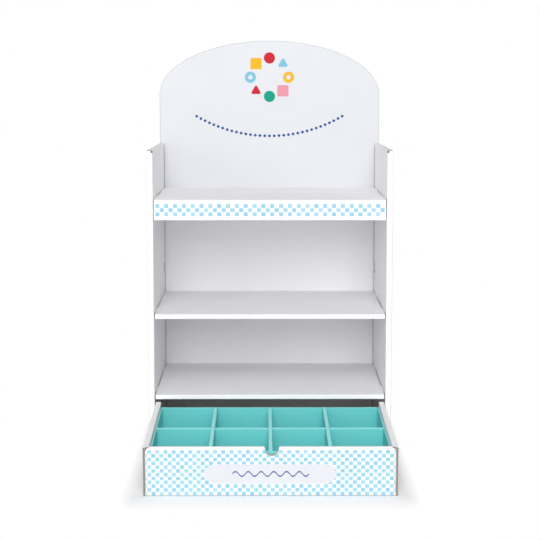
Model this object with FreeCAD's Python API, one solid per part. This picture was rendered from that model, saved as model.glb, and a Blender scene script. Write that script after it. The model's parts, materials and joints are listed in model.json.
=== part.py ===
import FreeCAD, Part
import math
import os

# Counter display stand of folded white corrugated board with a pull-out drawer.
# The stand faces -Y and its origin is the middle of its footprint on the table.
# The drawer is drawn pulled out, with its end still held in the stand and its front down on the table.

# Board
BOARD = 3.0              # white corrugated board
CARD = 1.5               # thin fluted card of the drawer's insert
FOLD_GAP = 0.6           # space between two layers folded onto each other
FOLD_RADIUS = 2.0        # outer radius of an upright fold of the stand
SMALL_RADIUS = 1.2       # outer radius of a creased shelf lip or drawer rim
CARD_RADIUS = 0.5        # outer radius of a crease in the thin card
PRINT = 0.2              # thickness of a printed field of colour
FULL_ROUND = 0.999       # share of the half width that rounds off a fully round end

# Stand
STAND_WIDTH = 340.0      # across the front
SIDE_TAPER = 2.0         # each outer side leans in by this from front to back
STAND_DEPTH = 240.0
SIDE_HEIGHT = 421.0
FRONT_STRIP = 8.4        # width of the strip that joins outer and inner side
REAR_GAP = 1.8           # open line between an inner side and the back panel
HEADER_INSET = 1.0       # each side of the header stands in from the back's corner
HEADER_TOP = 576.0
ARCH_RISE = 81.0         # height of the header's half ellipse
CORNER_NOTCH = 2.4       # relief cut at the top of the strip's inner fold

# Lock notch in the rear edge of each inner side
LOCK_HEIGHT = 232.0      # middle of the notch above the table
LOCK_OPENING = 16.0
LOCK_DEPTH = 22.0
LOCK_NICK = 3.0          # small nick in front of the notch
LOCK_NICK_DROP = 11.0    # below the middle of the notch
LOCK_NICK_INSET = 38.0   # from the rear edge of the inner side

# Shelves, by the height of their upper face
TOP_SHELF = 353.4
MIDDLE_SHELF = 193.4
LOWER_SHELF = 79.4
DEEP_LIP = 28.4          # printed lip of the top shelf
LIP_FLANGE = 50.0        # the other shelves' lips are folded back under the board by this
LIP_RECESS = 2.0         # shelf lips stand this far behind the stand's front
SHELF_SIDE_GAP = 1.2
SHELF_REAR_GAP = 0.3
TAB_LENGTH = 34.0        # locking tabs in the slots of the inner sides
TAB_INSET = 46.0         # from the front and from the back panel to a tab's middle
TAB_SHORT = 0.2          # a tab ends this far inside the slot's mouth
SLOT_CLEARANCE = 0.3

# Drawer
DRAWER_HEIGHT = 62.4
DRAWER_SIDE_GAP = 1.6
DRAWER_REAR_GAP = 1.0
DRAWER_HELD = 3.0        # length still inside the stand when pulled out
SLIDE_GAP = 0.3          # under the drawer's rear edge and under its front edge
RIM_WIDTH = 7.3          # rolled-over double wall
REAR_WALL = 53.0         # height of the drawer's single rear wall
PANEL_GAP = 0.4          # between neighbouring panels of the folded tray
FRONT_CORNER = 4.0       # rounded upper corners of the drawer's front
NOTCH_WIDTH = 18.0       # finger notch
NOTCH_DEPTH = 11.0
NOTCH_SHIFT = 1.5        # it was punched this far right of the middle

# Insert
INSERT_HEIGHT = 52.5
INSERT_GAP = 0.5         # between the insert and the drawer's walls
DIVIDER_WIDTH = 5.0
DIVIDER_GAP = 0.3
COLUMNS = 4

# Check print on the drawer's front
FRONT_CHECK = 5.15       # width of a square
FRONT_CHECK_HEIGHT = 4.9
FRONT_CHECK_MARGIN = 3.1
CHECK_GAP = 0.12         # between squares that meet at a corner
CHECK_EDGE = 0.8         # bare edge at both ends of a printed panel
SMALLEST_CHECK = 0.15    # share of a square below which a cut-off corner isn't printed
LABEL_WIDTH = 164.0
LABEL_HEIGHT = 25.0
LABEL_DROP = 34.0        # from the rim to the middle of the label
WAVE_WIDTH = 96.0
WAVE_SWING = 3.2
WAVE_STROKE = 1.6
WAVE_CRESTS = 6
WAVE_STEPS = 8           # straight pieces to a crest

# Check print on the top shelf's lip
LIP_CHECK = 6.1          # width of a square
LIP_CHECK_HEIGHT = 5.75
LIP_CHECK_ROWS = 3

# Printed shapes on the header
RING_DROP = 54.5         # from the header's top to the middle of the ring of shapes
RING_RADIUS = 29.0
SHAPE_SIZE = 17.0
HOLE_SIZE = 7.0          # hole of an open ring
SHAPE_CORNER = 2.1       # corner radius of a tile or triangle
DIAMOND_SIZE = 5.2       # across the corners
DIAMOND_COUNT = 33
GARLAND_WIDTH = 222.0    # row of diamonds that hangs in a shallow arc
GARLAND_SAG = 30.0
GARLAND_DROP = 89.0      # from the middle of the ring to the lowest diamond

# Worked out from the sizes above
BACK_CORNER = STAND_WIDTH / 2 - SIDE_TAPER
FRONT = -STAND_DEPTH / 2
BACK = STAND_DEPTH / 2
BACK_FACE = BACK - BOARD
INNER = STAND_WIDTH / 2 - FRONT_STRIP
LAYERS = 2 * BOARD + FOLD_GAP
LIP_FRONT = FRONT + LIP_RECESS
SHELF_BACK = BACK_FACE - SHELF_REAR_GAP
SHELF_HALF = INNER - SHELF_SIDE_GAP
DRAWER_HALF = INNER - DRAWER_SIDE_GAP
DRAWER_LENGTH = BACK_FACE - DRAWER_REAR_GAP - FRONT
DRAWER_BACK = FRONT + DRAWER_HELD
DRAWER_FRONT = DRAWER_BACK - DRAWER_LENGTH
DRAWER_BOTTOM = LAYERS + SLIDE_GAP
DRAWER_FLOOR = DRAWER_BOTTOM + BOARD
DROOP = math.degrees(math.asin((DRAWER_BOTTOM - SLIDE_GAP) / DRAWER_LENGTH))
RIM = DRAWER_BOTTOM + DRAWER_HEIGHT
PANEL_HALF = DRAWER_HALF - BOARD - PANEL_GAP
INSERT_HALF = DRAWER_HALF - RIM_WIDTH - INSERT_GAP
INSERT_FRONT = DRAWER_FRONT + RIM_WIDTH + INSERT_GAP
INSERT_BACK = DRAWER_BACK - BOARD - INSERT_GAP
INSERT_FLOOR = DRAWER_FLOOR + CARD
INSERT_TOP = DRAWER_FLOOR + INSERT_HEIGHT
INSERT_MIDDLE = (INSERT_FRONT + INSERT_BACK) / 2
RING_MIDDLE = HEADER_TOP - RING_DROP
GARLAND_LOW = RING_MIDDLE - GARLAND_DROP


def vector(x, y, z):
    return FreeCAD.Vector(x, y, z)


def box(x_low, x_high, y_low, y_high, z_low, z_high):
    return Part.makeBox(x_high - x_low, y_high - y_low, z_high - z_low, vector(x_low, y_low, z_low))


def rounded_wire(corners):
    """Closed wire through (point, radius) corners, with an arc where the radius isn't zero."""
    starts = []
    ends = []
    arcs = []
    for index, (point, radius) in enumerate(corners):
        before = (corners[index - 1][0] - point).normalize()
        after = (corners[(index + 1) % len(corners)][0] - point).normalize()
        half_angle = before.getAngle(after) / 2
        reach = radius / math.tan(half_angle)
        starts.append(point + before * reach)
        ends.append(point + after * reach)
        if radius > 0:
            inward = (before + after).normalize() * (radius / math.sin(half_angle) - radius)
            arcs.append(Part.Arc(starts[-1], point + inward, ends[-1]).toShape())
        else:
            arcs.append(None)
    edges = []
    for index, arc in enumerate(arcs):
        if arc:
            edges.append(arc)
        edges.append(Part.makeLine(ends[index], starts[(index + 1) % len(corners)]))
    return Part.Wire(edges)


def upright_prism(outline, z_low, z_high):
    """Prism over a plan outline of (x, y, radius) corners."""
    wire = rounded_wire([(vector(x, y, z_low), radius) for x, y, radius in outline])
    return Part.Face(wire).extrude(vector(0, 0, z_high - z_low))


def sideways_prism(outline, x_low, x_high):
    """Prism along X over a section of (y, z, radius) corners."""
    wire = rounded_wire([(vector(x_low, y, z), radius) for y, z, radius in outline])
    return Part.Face(wire).extrude(vector(x_high - x_low, 0, 0))


def lengthwise_prism(outline, y_low, y_high):
    """Prism along Y over a front outline of (x, z, radius) corners."""
    wire = rounded_wire([(vector(x, y_low, z), radius) for x, z, radius in outline])
    return Part.Face(wire).extrude(vector(0, y_high - y_low, 0))


def joined(shapes):
    return shapes[0].multiFuse(shapes[1:]).removeSplitter()


def both_sides(shape):
    """The shape and its mirror image across the middle of the stand."""
    return [shape, shape.mirror(vector(0, 0, 0), vector(1, 0, 0))]


# Stand

def wall_outline():
    """Plan of the folded blank: back, outer sides, front strips and inner sides."""
    inner_end = BACK_FACE - REAR_GAP
    outer = STAND_WIDTH / 2
    right = [
        (BACK_CORNER, BACK, FOLD_RADIUS),
        (outer, FRONT, FOLD_RADIUS),
        (INNER, FRONT, FOLD_RADIUS),
        (INNER, inner_end, 0),
        (INNER + BOARD, inner_end, 0),
        (INNER + BOARD, FRONT + BOARD, 0),
        (outer - BOARD, FRONT + BOARD, 0),
        (BACK_CORNER - BOARD, BACK_FACE, 0),
    ]
    left = [(-x, y, radius) for x, y, radius in reversed(right)]
    return right + left


def arch(half_width, foot, rise, y):
    """Half ellipse from the right foot over the top to the left foot."""
    middle = vector(0, y, foot)
    right = vector(half_width, y, foot)
    top = vector(0, y, foot + rise)
    if half_width >= rise:
        return Part.ArcOfEllipse(Part.Ellipse(right, top, middle), 0, math.pi).toShape()
    left = vector(-half_width, y, foot)
    tall = Part.Ellipse(top, left, middle)
    return Part.ArcOfEllipse(tall, -math.pi / 2, math.pi / 2).toShape()


def header():
    """Part of the back panel that stands above the sides, with its arched top."""
    half = BACK_CORNER - HEADER_INSET
    shoulder = HEADER_TOP - ARCH_RISE
    curve = arch(half, shoulder, ARCH_RISE, BACK_FACE)
    right_edge = Part.makeLine(vector(half, BACK_FACE, SIDE_HEIGHT), vector(half, BACK_FACE, shoulder))
    left_edge = Part.makeLine(vector(-half, BACK_FACE, shoulder), vector(-half, BACK_FACE, SIDE_HEIGHT))
    foot = Part.makeLine(vector(-half, BACK_FACE, SIDE_HEIGHT), vector(half, BACK_FACE, SIDE_HEIGHT))
    outline = Part.Wire([right_edge, curve, left_edge, foot])
    return Part.Face(outline).extrude(vector(0, BOARD, 0))


def tab_middles():
    return FRONT + TAB_INSET, BACK_FACE - TAB_INSET


def shelf_slots(height):
    """Slots through the right inner side for one shelf's tabs."""
    slots = []
    for middle in tab_middles():
        half = TAB_LENGTH / 2 + SLOT_CLEARANCE
        slots.append(box(INNER - BOARD / 2, INNER + BOARD, middle - half, middle + half,
                         height - BOARD - SLOT_CLEARANCE, height + SLOT_CLEARANCE))
    return slots


def lock_notch():
    """Notch and nick in the rear edge of the right inner side."""
    edge = BACK_FACE - REAR_GAP
    left = INNER - BOARD / 2
    right = INNER + BOARD
    half = LOCK_OPENING / 2
    notch = box(left, right, edge - LOCK_DEPTH, edge, LOCK_HEIGHT - half, LOCK_HEIGHT + half)
    nick_middle = edge - LOCK_NICK_INSET
    nick_top = LOCK_HEIGHT - LOCK_NICK_DROP
    nick = box(left, right, nick_middle - LOCK_NICK / 2, nick_middle + LOCK_NICK / 2,
               nick_top - LOCK_NICK, nick_top)
    return [notch, nick]


def corner_notch():
    return box(INNER - FOLD_RADIUS, INNER + CORNER_NOTCH, FRONT - FOLD_RADIUS, FRONT + CORNER_NOTCH,
               SIDE_HEIGHT - CORNER_NOTCH, SIDE_HEIGHT + BOARD)


def stand_body():
    """The stand's one folded blank, from the table to the top of the header."""
    walls = upright_prism(wall_outline(), 0, SIDE_HEIGHT)
    cuts = lock_notch() + [corner_notch()]
    for height in (LAYERS, LOWER_SHELF, MIDDLE_SHELF, TOP_SHELF):
        cuts += shelf_slots(height)
    both = [piece for cut in cuts for piece in both_sides(cut)]
    return joined([walls, header()]).cut(both)


def folded_section(height, fold_end):
    """Section of a shelf whose front is folded back under the board as far as fold_end."""
    low = height - LAYERS
    under = height - BOARD - FOLD_GAP
    return [
        (LIP_FRONT, height, SMALL_RADIUS),
        (LIP_FRONT, low, SMALL_RADIUS),
        (fold_end, low, 0),
        (fold_end, under, 0),
        (LIP_FRONT + BOARD, under, 0),
        (LIP_FRONT + BOARD, height - BOARD, 0),
        (SHELF_BACK, height - BOARD, 0),
        (SHELF_BACK, height, 0),
    ]


def deep_lip_section(height):
    """Section of the top shelf: its board goes down the lip, up behind it and back under."""
    low = height - DEEP_LIP
    under = height - BOARD - FOLD_GAP
    behind = LIP_FRONT + BOARD + FOLD_GAP
    return [
        (LIP_FRONT, height, SMALL_RADIUS),
        (LIP_FRONT, low, SMALL_RADIUS),
        (LIP_FRONT + LAYERS, low, SMALL_RADIUS),
        (LIP_FRONT + LAYERS, height - LAYERS, 0),
        (SHELF_BACK, height - LAYERS, 0),
        (SHELF_BACK, under, 0),
        (behind, under, 0),
        (behind, low + BOARD, 0),
        (LIP_FRONT + BOARD, low + BOARD, 0),
        (LIP_FRONT + BOARD, height - BOARD, 0),
        (SHELF_BACK, height - BOARD, 0),
        (SHELF_BACK, height, 0),
    ]


def shelf(section, height):
    """A shelf of that section, with two locking tabs on each end of its upper layer."""
    pieces = [sideways_prism(section, -SHELF_HALF, SHELF_HALF)]
    for middle in tab_middles():
        tab = box(SHELF_HALF, INNER + BOARD - TAB_SHORT, middle - TAB_LENGTH / 2,
                  middle + TAB_LENGTH / 2, height - BOARD, height)
        pieces += both_sides(tab)
    return joined(pieces)


# Drawer

def rolled_side():
    """Right side of the tray: the outer panel, and the roll-over down to the floor inside."""
    outer = box(DRAWER_HALF - BOARD, DRAWER_HALF, DRAWER_FRONT, DRAWER_BACK, DRAWER_BOTTOM, RIM - BOARD)
    inner = DRAWER_HALF - RIM_WIDTH
    roll = [
        (DRAWER_HALF, RIM - BOARD, 0),
        (DRAWER_HALF, RIM, SMALL_RADIUS),
        (inner, RIM, SMALL_RADIUS),
        (inner, DRAWER_FLOOR + PANEL_GAP, 0),
        (inner + BOARD, DRAWER_FLOOR + PANEL_GAP, 0),
        (inner + BOARD, RIM - BOARD, 0),
    ]
    start = DRAWER_FRONT + BOARD + PANEL_GAP
    cap = [
        (DRAWER_HALF - BOARD, RIM - BOARD, 0),
        (DRAWER_HALF, RIM - BOARD, 0),
        (DRAWER_HALF, RIM, SMALL_RADIUS),
        (DRAWER_HALF - BOARD, RIM, 0),
    ]
    return [outer, lengthwise_prism(cap, DRAWER_FRONT, start), lengthwise_prism(roll, start, DRAWER_BACK)]


def front_wall():
    """Front of the tray: the outer panel, rolled over at the rim and down inside."""
    panel = [
        (PANEL_HALF, DRAWER_BOTTOM, 0),
        (PANEL_HALF, RIM - SMALL_RADIUS, FRONT_CORNER),
        (-PANEL_HALF, RIM - SMALL_RADIUS, FRONT_CORNER),
        (-PANEL_HALF, DRAWER_BOTTOM, 0),
    ]
    inner_face = DRAWER_FRONT + RIM_WIDTH
    roll = [
        (DRAWER_FRONT, DRAWER_FLOOR, 0),
        (DRAWER_FRONT, RIM, SMALL_RADIUS),
        (inner_face, RIM, SMALL_RADIUS),
        (inner_face, DRAWER_FLOOR + PANEL_GAP, 0),
        (inner_face - BOARD, DRAWER_FLOOR + PANEL_GAP, 0),
        (inner_face - BOARD, RIM - BOARD, 0),
        (DRAWER_FRONT + BOARD, RIM - BOARD, 0),
        (DRAWER_FRONT + BOARD, DRAWER_FLOOR, 0),
    ]
    half = DRAWER_HALF - RIM_WIDTH - PANEL_GAP
    return [lengthwise_prism(panel, DRAWER_FRONT, DRAWER_FRONT + BOARD), sideways_prism(roll, -half, half)]


def notch_outline():
    """U outline of the finger notch, open above the rim."""
    left = NOTCH_SHIFT - NOTCH_WIDTH / 2
    right = NOTCH_SHIFT + NOTCH_WIDTH / 2
    low = RIM - NOTCH_DEPTH
    above = RIM + NOTCH_DEPTH
    round_end = NOTCH_WIDTH / 2 * FULL_ROUND
    return [(right, above, 0), (right, low, round_end), (left, low, round_end), (left, above, 0)]


def drawer_tray():
    """The drawer's one folded blank: floor, rolled sides and front, and a low rear wall."""
    side_inner = DRAWER_HALF - BOARD
    floor = box(-side_inner, side_inner, DRAWER_FRONT, DRAWER_BACK, DRAWER_BOTTOM, DRAWER_FLOOR)
    rear_half = DRAWER_HALF - RIM_WIDTH - PANEL_GAP
    rear = box(-rear_half, rear_half, DRAWER_BACK - BOARD, DRAWER_BACK, DRAWER_FLOOR, DRAWER_BOTTOM + REAR_WALL)
    sides = [piece for part in rolled_side() for piece in both_sides(part)]
    tray = joined([floor, rear] + sides + front_wall())
    notch = lengthwise_prism(notch_outline(), DRAWER_FRONT - BOARD, DRAWER_FRONT + RIM_WIDTH + BOARD)
    return tray.cut(notch)


def insert_liner():
    """Thin card tray that stands in the drawer."""
    outside = box(-INSERT_HALF, INSERT_HALF, INSERT_FRONT, INSERT_BACK, DRAWER_FLOOR, INSERT_TOP)
    inside = box(-INSERT_HALF + CARD, INSERT_HALF - CARD, INSERT_FRONT + CARD, INSERT_BACK - CARD,
                 INSERT_FLOOR, INSERT_TOP + CARD)
    return outside.cut(inside)


def divider_section(middle):
    """Card folded double over a flat top, as (across, height, radius) corners."""
    half = DIVIDER_WIDTH / 2
    return [
        (middle - half, INSERT_FLOOR, 0),
        (middle - half, INSERT_TOP, CARD_RADIUS),
        (middle + half, INSERT_TOP, CARD_RADIUS),
        (middle + half, INSERT_FLOOR, 0),
        (middle + half - CARD, INSERT_FLOOR, 0),
        (middle + half - CARD, INSERT_TOP - CARD, 0),
        (middle - half + CARD, INSERT_TOP - CARD, 0),
        (middle - half + CARD, INSERT_FLOOR, 0),
    ]


def divider_places():
    """Places across the drawer of the lengthwise dividers."""
    column = 2 * INSERT_HALF / COLUMNS
    return [-INSERT_HALF + column * (index + 1) for index in range(COLUMNS - 1)]


def half_lap():
    return (INSERT_FLOOR + INSERT_TOP) / 2


def lengthwise_divider(x):
    """Divider that runs from front to back, slotted from below for the cross divider."""
    bar = lengthwise_prism(divider_section(x), INSERT_FRONT + CARD + DIVIDER_GAP, INSERT_BACK - CARD - DIVIDER_GAP)
    reach = DIVIDER_WIDTH / 2 + DIVIDER_GAP
    slot = box(x - reach, x + reach, INSERT_MIDDLE - reach, INSERT_MIDDLE + reach,
               INSERT_FLOOR - CARD, half_lap() + DIVIDER_GAP / 2)
    return bar.cut(slot)


def cross_divider():
    """Divider that runs across, slotted from above for the lengthwise dividers."""
    end = INSERT_HALF - CARD - DIVIDER_GAP
    bar = sideways_prism(divider_section(INSERT_MIDDLE), -end, end)
    reach = DIVIDER_WIDTH / 2 + DIVIDER_GAP
    slots = [box(x - reach, x + reach, INSERT_MIDDLE - reach, INSERT_MIDDLE + reach,
                 half_lap() - DIVIDER_GAP / 2, INSERT_TOP + CARD) for x in divider_places()]
    return bar.cut(slots)


# Print

def check_squares(half_width, width, height, top, low, face):
    """Every other square of a check, standing PRINT proud of an upright face."""
    squares = []
    columns = math.ceil(half_width / width)
    rows = math.ceil((top - low) / height)
    for row in range(rows):
        upper = top - row * height - CHECK_GAP / 2
        lower = max(top - (row + 1) * height + CHECK_GAP / 2, low)
        for column in range(-columns, columns):
            left = max(column * width + CHECK_GAP / 2, -half_width)
            right = min((column + 1) * width - CHECK_GAP / 2, half_width)
            if (row + column) % 2 == 0 and right - left > CHECK_GAP and upper - lower > CHECK_GAP:
                squares.append(box(left, right, face - PRINT, face, lower, upper))
    return squares


def lip_checks():
    """Three rows of squares on the top shelf's lip."""
    band = LIP_CHECK_ROWS * LIP_CHECK_HEIGHT
    top = TOP_SHELF - (DEEP_LIP - band) / 2
    half = SHELF_HALF - CHECK_EDGE
    return Part.makeCompound(check_squares(half, LIP_CHECK, LIP_CHECK_HEIGHT, top, top - band, LIP_FRONT))


def label_shape(face, thickness, grow=0.0):
    """Pill-shaped field in the middle of the drawer's front."""
    half = LABEL_WIDTH / 2 + grow
    radius = LABEL_HEIGHT / 2 + grow
    round_end = radius * FULL_ROUND
    middle = RIM - LABEL_DROP
    outline = [
        (half, middle - radius, round_end),
        (half, middle + radius, round_end),
        (-half, middle + radius, round_end),
        (-half, middle - radius, round_end),
    ]
    return lengthwise_prism(outline, face - thickness, face)


def drawer_checks():
    """Squares over the drawer's front, cut away round the label and the finger notch."""
    squares = check_squares(PANEL_HALF - CHECK_EDGE, FRONT_CHECK, FRONT_CHECK_HEIGHT, RIM - FRONT_CHECK_MARGIN,
                            DRAWER_BOTTOM + CHECK_EDGE, DRAWER_FRONT)
    label = label_shape(DRAWER_FRONT + PRINT, 3 * PRINT, CHECK_GAP)
    notch = lengthwise_prism(notch_outline(), DRAWER_FRONT - 2 * PRINT, DRAWER_FRONT + PRINT)
    smallest = SMALLEST_CHECK * FRONT_CHECK * FRONT_CHECK_HEIGHT * PRINT
    kept = []
    for square in squares:
        kept += [piece for piece in square.cut([label, notch]).Solids if piece.Volume > smallest]
    return Part.makeCompound(kept)


def label_wave():
    """Plain wavy ribbon in the middle of the label."""
    middle = RIM - LABEL_DROP
    steps = WAVE_CRESTS * WAVE_STEPS
    upper = []
    lower = []
    for step in range(steps + 1):
        x = (step / steps - 0.5) * WAVE_WIDTH
        z = middle + WAVE_SWING * math.sin(2 * math.pi * WAVE_CRESTS * step / steps)
        upper.append((x, z + WAVE_STROKE / 2, 0))
        lower.append((x, z - WAVE_STROKE / 2, 0))
    face = DRAWER_FRONT - PRINT
    return lengthwise_prism(upper + lower[::-1], face - PRINT, face)


def header_disc(x, z, size):
    start = vector(x, BACK_FACE - PRINT, z)
    return Part.makeCylinder(size / 2, PRINT, start, vector(0, 1, 0))


def header_ring(x, z, size):
    return header_disc(x, z, size).cut(header_disc(x, z, HOLE_SIZE))


def header_polygon(x, z, size, corners, turn, radius):
    """Regular polygon of that many corners, size across its corners, with its first corner at turn."""
    outline = []
    for corner in range(corners):
        angle = turn + 2 * math.pi * corner / corners
        outline.append((x + size / 2 * math.cos(angle), z + size / 2 * math.sin(angle), radius))
    return lengthwise_prism(outline, BACK_FACE - PRINT, BACK_FACE)


def header_tile(x, z, size):
    """Square with rounded corners, size along its sides."""
    return header_polygon(x, z, size * math.sqrt(2), 4, math.pi / 4, SHAPE_CORNER)


def header_triangle(x, z, size):
    """Triangle with rounded corners that points up, size along its sides."""
    return header_polygon(x, z, size * 2 / math.sqrt(3), 3, math.pi / 2, SHAPE_CORNER)


def ring_shapes(places):
    """Shapes of one colour, each given as (eighth of the ring, form)."""
    shapes = []
    for eighth, form in places:
        angle = math.pi / 2 - eighth * math.pi / 4
        x = RING_RADIUS * math.cos(angle)
        z = RING_MIDDLE + RING_RADIUS * math.sin(angle)
        shapes.append(form(x, z, SHAPE_SIZE))
    return Part.makeCompound(shapes)


def header_garland():
    """Row of small diamonds that hangs in a shallow arc under the ring of shapes."""
    half = GARLAND_WIDTH / 2
    radius = (half ** 2 + GARLAND_SAG ** 2) / (2 * GARLAND_SAG)
    spread = math.asin(half / radius)
    diamonds = []
    for index in range(DIAMOND_COUNT):
        angle = (2 * index / (DIAMOND_COUNT - 1) - 1) * spread
        x = radius * math.sin(angle)
        z = GARLAND_LOW + radius * (1 - math.cos(angle))
        diamonds.append(header_polygon(x, z, DIAMOND_SIZE, 4, angle, 0))
    return Part.makeCompound(diamonds)


def header_print():
    """Nodes of the header's print, one for each colour."""
    return {
        "header_shapes_red": ring_shapes([(0, header_disc), (5, header_triangle)]),
        "header_shapes_blue": ring_shapes([(1, header_triangle), (6, header_ring)]),
        "header_shapes_yellow": ring_shapes([(2, header_ring), (7, header_tile)]),
        "header_shapes_pink": ring_shapes([(3, header_tile)]),
        "header_shapes_green": ring_shapes([(4, header_disc)]),
        "header_garland_navy": header_garland(),
    }


def stand_nodes():
    """Nodes of the stand itself."""
    flange_end = LIP_FRONT + LIP_FLANGE
    return {
        "stand_body": stand_body(),
        "top_shelf": shelf(deep_lip_section(TOP_SHELF), TOP_SHELF),
        "middle_shelf": shelf(folded_section(MIDDLE_SHELF, flange_end), MIDDLE_SHELF),
        "lower_shelf": shelf(folded_section(LOWER_SHELF, flange_end), LOWER_SHELF),
        "base_shelf": shelf(folded_section(LAYERS, SHELF_BACK), LAYERS),
        "lip_checks": lip_checks(),
    }


def drawer_nodes():
    """Nodes of the drawer, drawn level and then turned down about its rear lower edge."""
    nodes = {
        "drawer_tray": drawer_tray(),
        "drawer_checks": drawer_checks(),
        "drawer_label": label_shape(DRAWER_FRONT, PRINT),
        "drawer_label_wave": label_wave(),
        "insert_liner": insert_liner(),
        "insert_cross_divider": cross_divider(),
    }
    for number, x in enumerate(divider_places(), 1):
        nodes["insert_divider_" + str(number)] = lengthwise_divider(x)
    pivot = vector(0, DRAWER_BACK, DRAWER_BOTTOM)
    return {name: shape.rotated(pivot, vector(1, 0, 0), DROOP) for name, shape in nodes.items()}


os.makedirs("parts", exist_ok=True)
for name, shape in {**stand_nodes(), **header_print(), **drawer_nodes()}.items():
    shape.exportStep(os.path.join("parts", name + ".step"))
    print(name, shape.isValid(), len(shape.Solids), round(shape.Volume, 1))
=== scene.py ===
"""Looks of a cardboard display stand: board and print finishes, open flutes on cut edges, and the studio.

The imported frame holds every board, shelf and card at its real size, in metres: the stand faces -Y, +Z is up
and the origin is the middle of its footprint. This file gives each of them its finish and adds what a solid
board lacks: the wavy medium between the two liners, which shows wherever corrugated board was cut across its
flutes, and the liner that is folded over the tops of the sides.
"""

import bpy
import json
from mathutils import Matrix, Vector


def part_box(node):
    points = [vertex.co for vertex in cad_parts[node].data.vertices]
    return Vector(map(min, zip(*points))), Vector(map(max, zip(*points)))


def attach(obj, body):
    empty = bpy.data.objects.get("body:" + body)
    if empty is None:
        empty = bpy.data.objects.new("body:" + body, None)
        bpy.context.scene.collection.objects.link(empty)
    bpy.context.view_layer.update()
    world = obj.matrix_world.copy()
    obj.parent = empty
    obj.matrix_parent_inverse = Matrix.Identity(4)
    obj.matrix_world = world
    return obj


bl_info = {
    "name": "Cardboard Display Stand",
    "version": (1, 0, 0),
    "blender": (4, 5, 0),
    "location": "View3D > Sidebar > Display Stand",
    "description": "Finishes, cut edges and studio of a corrugated counter display stand",
    "category": "Object",
}

import json
import math

import bpy
import numpy as np
from mathutils import Euler, Vector

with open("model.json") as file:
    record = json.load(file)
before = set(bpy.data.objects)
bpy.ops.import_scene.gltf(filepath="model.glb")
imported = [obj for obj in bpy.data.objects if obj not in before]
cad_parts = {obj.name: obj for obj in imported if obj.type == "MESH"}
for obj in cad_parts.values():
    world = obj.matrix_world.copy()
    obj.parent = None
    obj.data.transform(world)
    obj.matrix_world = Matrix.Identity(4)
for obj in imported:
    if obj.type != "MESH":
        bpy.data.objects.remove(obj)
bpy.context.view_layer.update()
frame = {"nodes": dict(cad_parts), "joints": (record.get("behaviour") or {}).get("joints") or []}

MILLIMETRE = 0.001
STAND_LOW, STAND_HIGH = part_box("stand_body")

# The pulled-out drawer leans down to the table: its level sizes follow from its box and its slide's lean
DRAWER_LOW, DRAWER_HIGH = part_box("drawer_tray")
LEAN = math.asin(-frame["joints"][0]["axis"][2])
SPREAD = math.cos(LEAN) ** 2 - math.sin(LEAN) ** 2
DRAWER_SPAN = DRAWER_HIGH - DRAWER_LOW
DRAWER_LENGTH = (DRAWER_SPAN.y * math.cos(LEAN) - DRAWER_SPAN.z * math.sin(LEAN)) / SPREAD
DRAWER_HEIGHT = (DRAWER_SPAN.z * math.cos(LEAN) - DRAWER_SPAN.y * math.sin(LEAN)) / SPREAD
PIVOT = Vector((0, DRAWER_HIGH.y, DRAWER_LOW.z + DRAWER_LENGTH * math.sin(LEAN)))
DRAWER_FRONT = PIVOT.y - DRAWER_LENGTH
DRAWER_RIM = PIVOT.z + DRAWER_HEIGHT
INSERT_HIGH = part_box("insert_liner")[1]
INSERT_TOP = PIVOT.z + (INSERT_HIGH.z - PIVOT.z - (INSERT_HIGH.y - PIVOT.y) * math.sin(LEAN)) / math.cos(LEAN)

WHITE_SHELVES = ("top_shelf", "middle_shelf", "lower_shelf", "base_shelf")
TEAL_CARDS = ("insert_liner", "insert_divider_1", "insert_divider_2", "insert_divider_3",
              "insert_cross_divider")

# Masks: least part of a normal that counts as facing that way, room for rounding, and a plane behind the tabs
FACING = 0.5
HAIR = 0.1 * MILLIMETRE
BEHIND_TABS = STAND_HIGH.y - 20 * MILLIMETRE

# Painted shade lines along folds, in the back's inner corners and at the drawer's foot: width, and share of the
# painted flute shade
TOP_FOLD_SHADE = (1.4 * MILLIMETRE, 0.55)
REAR_CORNER_SHADE = (1.1 * MILLIMETRE, 0.45)
STRIP_FOLD_SHADE = (0.8 * MILLIMETRE, 0.3)
FOOT_SHADOW = (0.9 * MILLIMETRE, 0.6)

# Strips on cut edges: depth in the board, height above it, points to a flute, and steps between liner points
SINK = 0.25 * MILLIMETRE
PROUD = 0.12 * MILLIMETRE
POINTS_PER_FLUTE = 16
LINER_STEP = 8

# Lamps that look at the middle of the stand: name, setting that holds the power, diameter, place
LAMP_TARGET = (0.0, 0.0, 0.28)
LAMPS = (
    ("front lamp", "front", 2.2, (0.0, -4.0, 0.9)),
    ("middle lamp", "middle", 2.0, (0.0, -3.6, 1.9)),
    ("high lamp", "high", 1.2, (0.0, -2.2, 1.9)),
    ("left lamp", "left", 1.6, (-2.6, -3.0, 1.1)),
)


def srgb(red, green, blue):
    """Linear colour of an 8-bit screen colour."""
    screen = np.array([red, green, blue]) / 255
    return tuple(np.where(screen <= 0.04045, screen / 12.92, ((screen + 0.055) / 1.055) ** 2.4).tolist())


# Settings that a user would change

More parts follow.
